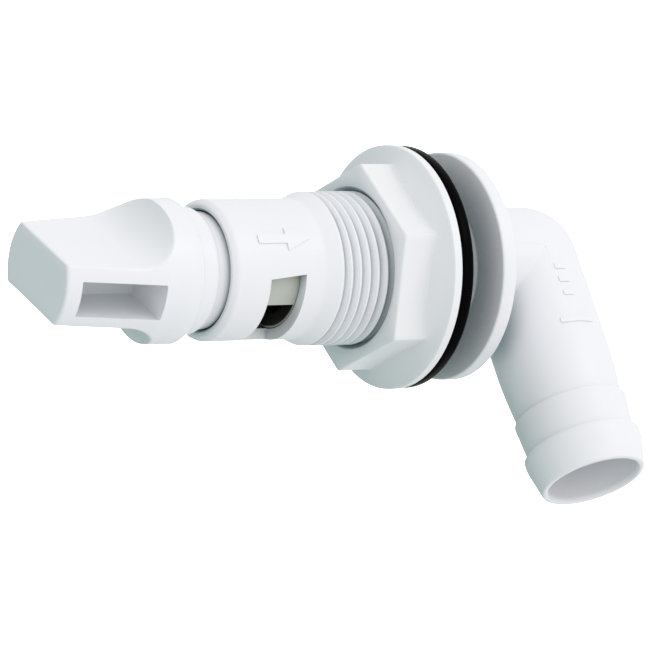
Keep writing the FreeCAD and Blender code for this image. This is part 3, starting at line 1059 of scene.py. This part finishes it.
@dataclass
class WingedKnob:
    """White knob with a flat grip, run-out scoops, pockets in the narrow sides and a stepped neck."""

    tip_x: float = -81.2
    tip_r: float = 10.15
    cone_x: float = -63.1
    skirt_r: float = 12.35
    skirt_x: float = -55.7
    neck1_r: float = 10.9
    neck1_x: float = -51.7
    neck2_r: float = 10.02
    neck2_x: float = -44.6
    blade_angle: float = 55.3
    tip_half: float = 5.6
    root_half: float = 5.55
    scoop_x: float = -67.8
    scoop_r: float = 7.4
    edge: float = 0.5
    ring_groove_x: tuple = (-49.30, -47.40)
    ring_groove_r: float = 8.47
    clip_groove_x: tuple = (-46.27, -45.23)
    clip_groove_r: float = 9.20
    recess_x: float = -51.5
    recess_r: tuple = (4.2, 7.4)
    screw_hole_x: float = -55.1
    screw_hole_r: float = 1.77
    pocket: tuple = (15.4, 6.4, 18.2)
    pocket_at: tuple = (-70.7, 0, 10.9)
    web: tuple = (7.0, 6.4, 4.0)
    web_at: tuple = (-48.1, 0, 5.95)
    key_slot: tuple = (3.6, 3.3, 3.1)
    key_slot_at: tuple = (-45.4, 0, 5.95)
    segments: int = 320

    def grip_half(self, x: float) -> float:
        """Half thickness of the grip.

        Args:
            x: Place along the axis, mm.

        Returns:
            Half thickness, mm, very large behind the scoops.
        """
        if x <= self.scoop_x:
            share = (x - self.tip_x) / (self.scoop_x - self.tip_x)
            return self.tip_half + (self.root_half - self.tip_half) * share
        run = x - self.scoop_x
        if run < self.scoop_r * math.sin(math.radians(80)):
            return self.root_half + self.scoop_r - math.sqrt(self.scoop_r**2 - run * run)
        return 60.0

    def outside(self, x: float, angle: float) -> float:
        """Outside radius of the grip and skirt.

        Args:
            x: Place along the axis, mm.
            angle: Angle from the grip's flat face, radians.

        Returns:
            Radius, mm.
        """
        turned = self.tip_r + (self.skirt_r - self.tip_r) * min(1.0, (x - self.tip_x) / (self.cone_x - self.tip_x))
        flat = self.grip_half(x) / max(abs(math.cos(angle)), 1e-3)
        round_off = max(0.0, 1 - (x - self.tip_x) / self.edge)
        return smooth_min(turned, flat, 0.5) - self.edge * (1 - math.sqrt(max(0.0, 1 - round_off * round_off)))

    def stations(self) -> list[float]:
        """Places along the grip where the skin has a ring.

        Returns:
            List of x, mm.
        """
        rings = [self.tip_x + self.edge * (1 - math.cos(math.pi / 2 * k / 5)) for k in range(6)]
        x = rings[-1] + 0.35
        while x < self.scoop_x:
            rings.append(x)
            x += 0.5
        while x < self.scoop_x + self.scoop_r:
            rings.append(x)
            x += 0.14
        return rings + [self.cone_x + 3.5]

    def build(self, finishes: Finishes) -> None:
        """Builds and dresses the knob.

        Args:
            finishes: The finishes.
        """
        corners = [Corner(self.tip_x, 0.0)] + [Corner(self.tip_x, self.tip_r * k / 4) for k in range(1, 4)]
        corners += [Corner(x, self.skirt_r + 1) for x in self.stations()]
        corners += [
            Corner(self.skirt_x, self.skirt_r, 0.7),
            Corner(self.skirt_x, self.neck1_r, 0.15),
            Corner(self.neck1_x - 0.8, self.neck1_r, 0.25),
            Corner(self.neck1_x, self.neck1_r - 0.5, 0.15),
            Corner(self.neck1_x, self.neck2_r, 0.1),
            Corner(self.ring_groove_x[0], self.neck2_r, 0.1),
            Corner(self.ring_groove_x[0], self.ring_groove_r, 0.1),
            Corner(self.ring_groove_x[1], self.ring_groove_r, 0.1),
            Corner(self.ring_groove_x[1], self.neck2_r, 0.1),
            Corner(self.clip_groove_x[0], self.neck2_r),
            Corner(self.clip_groove_x[0], self.clip_groove_r),
            Corner(self.clip_groove_x[1], self.clip_groove_r),
            Corner(self.clip_groove_x[1], self.neck2_r),
            Corner(self.neck2_x, self.neck2_r, 0.1),
            Corner(self.neck2_x, self.recess_r[1]),
            Corner(self.recess_x, self.recess_r[1]),
            Corner(self.recess_x, self.recess_r[0]),
            Corner(self.neck2_x, self.recess_r[0]),
            Corner(self.neck2_x, self.screw_hole_r),
            Corner(self.screw_hole_x, self.screw_hole_r),
            Corner(self.screw_hole_x, 0.0),
        ]
        bm = turned_skin(corners, segments=self.segments)
        for vert in bm.verts:
            radius = vert.co.yz.length
            angle = math.atan2(-vert.co.y, vert.co.z)
            if radius > self.skirt_r + 0.5:
                vert.co.yz = vert.co.yz * (self.outside(vert.co.x, angle) / radius)
            elif vert.co.x < self.tip_x + 0.01 and radius > 0:
                vert.co.yz = vert.co.yz * (self.outside(self.tip_x, angle) / self.tip_r)
        turn = math.radians(self.blade_angle - 90)
        bmesh.ops.rotate(bm, cent=(0, 0, 0), matrix=Matrix.Rotation(turn, 3, "X"), verts=bm.verts[:])
        face_out(bm)
        knob = shape_from(bm, "knob")
        sides = [Matrix.Rotation(math.radians(self.blade_angle + side), 4, "X") for side in (0, 180)]
        for turn_to in sides:
            pocket = soft_box(self.pocket, turn_to @ Matrix.Translation(self.pocket_at), 0.25)
            knob = put_together(knob, pocket, Join.CUT)
        for turn_to in sides:
            web = soft_box(self.web, turn_to @ Matrix.Translation(self.web_at), 0.1)
            knob = put_together(knob, web, Join.UNITE)
            key_slot = soft_box(self.key_slot, turn_to @ Matrix.Translation(self.key_slot_at), 0.1)
            knob = put_together(knob, key_slot, Join.CUT)
        finish_piece(knob, "moulded_control_knob", finishes.knob, "knob", "control_knob")


def dress_inside(finishes: Finishes) -> None:
    """Gives the pieces inside the sleeve their finishes.

    Args:
        finishes: The finishes.
    """
    for node, material in (
        ("valve_spool", finishes.acetal),
        ("spool_screw", finishes.steel),
        ("retaining_ring", finishes.steel),
        ("outer_o_ring", finishes.o_ring),
        ("inner_o_ring", finishes.o_ring),
    ):
        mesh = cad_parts[node].data
        mesh.materials.clear()
        mesh.materials.append(material)
        log.info("%s: dressed", node)


# ---- studio ----------------------------------------------------------------------------------------


@dataclass(frozen=True)
class Camera:
    """Camera on a sphere round the object.

    Args:
        right: Picture's right in the frame.
        up: Picture's up in the frame.
        distance: Distance from the plane through the origin, mm.
        shift: Place of the origin right of and above the picture's middle, mm.
        lens: Focal length on a 36 mm sensor, mm.
    """

    right: tuple = (0.83376234, -0.28181713, 0.47740754)
    up: tuple = (0.02094522, 0.87661018, 0.48076125)
    distance: float = 825.767
    shift: tuple = (19.7218, 10.32184)
    lens: float = 260.42

    def build(self) -> None:
        """Adds the camera to the scene."""
        right = Vector(self.right).normalized()
        back = right.cross(Vector(self.up)).normalized()
        up = back.cross(right)
        place = (back * self.distance - right * self.shift[0] - up * self.shift[1]) * MM
        data = bpy.data.cameras.new("studio_camera")
        data.lens = self.lens
        data.sensor_width = 36.0
        data.clip_start = 0.05
        data.clip_end = 20.0
        camera = bpy.data.objects.new("studio_camera", data)
        turn = Matrix((right, up, back)).transposed().to_4x4()
        camera.matrix_world = Matrix.Translation(place) @ turn
        bpy.context.scene.collection.objects.link(camera)
        bpy.context.scene.camera = camera


@dataclass(frozen=True)
class Studio:
    """Soft light box overhead, cool light all round and a pale floor well below.

    Args:
        key_from: Direction the main light comes from.
        key_distance: Its distance, m.
        key_size: Its width, m.
        key_power: Its power, W.
        sky_axis: Direction the surrounding light is brightest from.
        sky_top: sRGB colour of the bright side.
        sky_low: sRGB colour of the dark side.
        sky_strength: Strength of the surrounding light.
        backdrop: sRGB colour of the plain surround behind the object.
        floor_z: Height of the floor, m.
        floor_glow: Light given off by the floor.
    """

    key_from: tuple = (0.42, 0.12, 0.90)
    key_distance: float = 1.2
    key_size: float = 0.55
    key_power: float = 1.9
    sky_axis: tuple = (0.55, -0.05, 0.83)
    sky_top: str = "F4F5F6"
    sky_low: str = "56857F"
    sky_strength: float = 1.06
    backdrop: str = "F4F5F5"
    floor_z: float = -1.6
    floor_glow: float = 1.6

    def light(self) -> None:
        """Adds the main light."""
        data = bpy.data.lights.new("light_box", "AREA")
        data.shape = "SQUARE"
        data.size = self.key_size
        data.energy = self.key_power
        lamp = bpy.data.objects.new("light_box", data)
        direction = Vector(self.key_from).normalized()
        lamp.location = direction * self.key_distance
        lamp.rotation_euler = direction.to_track_quat("Z", "Y").to_euler()
        bpy.context.scene.collection.objects.link(lamp)

    def sky(self) -> None:
        """Sets the surrounding light, brighter from above, behind a plain pale backdrop."""
        world = bpy.data.worlds.new("studio_surround")
        bpy.context.scene.world = world
        world.use_nodes = True
        tree = world.node_tree
        place = add_node(tree, "ShaderNodeTexCoord")
        axis = Vector(self.sky_axis).normalized()
        height = add_node(
            tree, "ShaderNodeVectorMath", [(0, place.outputs["Generated"])], [("operation", "DOT_PRODUCT")]
        )
        height.inputs[1].default_value = axis
        share = add_node(
            tree, "ShaderNodeMapRange", [("Value", height.outputs["Value"])],
            [("interpolation_type", "SMOOTHSTEP")], **{"From_Min": -1.0, "From_Max": -0.1},
        )
        tone = add_node(tree, "ShaderNodeMix", [("Factor", share.outputs["Result"])], [("data_type", "RGBA")])
        tone.inputs[6].default_value = linear(self.sky_low)
        tone.inputs[7].default_value = linear(self.sky_top)
        background = tree.nodes["Background"]
        seen = add_node(tree, "ShaderNodeLightPath")
        shown = add_node(
            tree, "ShaderNodeMix", [("Factor", seen.outputs["Is Camera Ray"])], [("data_type", "RGBA")]
        )
        tree.links.new(tone.outputs[2], shown.inputs[6])
        shown.inputs[7].default_value = linear(self.backdrop)
        tree.links.new(shown.outputs[2], background.inputs["Color"])
        background.inputs["Strength"].default_value = self.sky_strength

    def floor(self) -> None:
        """Adds the plain pale floor."""
        bm = bmesh.new()
        bmesh.ops.create_grid(bm, x_segments=1, y_segments=1, size=0.55)
        bmesh.ops.translate(bm, vec=(1.25, 0.95, self.floor_z), verts=bm.verts[:])
        floor = shape_from(bm, "pale_floor")
        material = bpy.data.materials.new("pale_painted_floor")
        material.use_nodes = True
        shader = material.node_tree.nodes["Principled BSDF"]
        shader.inputs["Base Color"].default_value = linear("F4F5F6")
        shader.inputs["Roughness"].default_value = 0.8
        shader.inputs["Emission Color"].default_value = linear("FFFFFF")
        shader.inputs["Emission Strength"].default_value = self.floor_glow
        floor.data.materials.append(material)

    def build(self) -> None:
        """Sets up light, surround and floor."""
        self.light()
        self.sky()
        self.floor()
        bpy.context.scene.view_settings.view_transform = "Standard"


def main() -> None:
    """Builds the object, the studio and the camera."""
    logging.basicConfig(level=logging.INFO, format="%(name)s %(message)s")
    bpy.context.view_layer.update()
    finishes = Finishes()
    HullMoulding().build(finishes)
    FlangedNut().build(finishes)
    RubberGasket().build(finishes)
    WingedKnob().build(finishes)
    dress_inside(finishes)
    Studio().build()
    Camera().build()


if __name__ == "__main__":
    main()
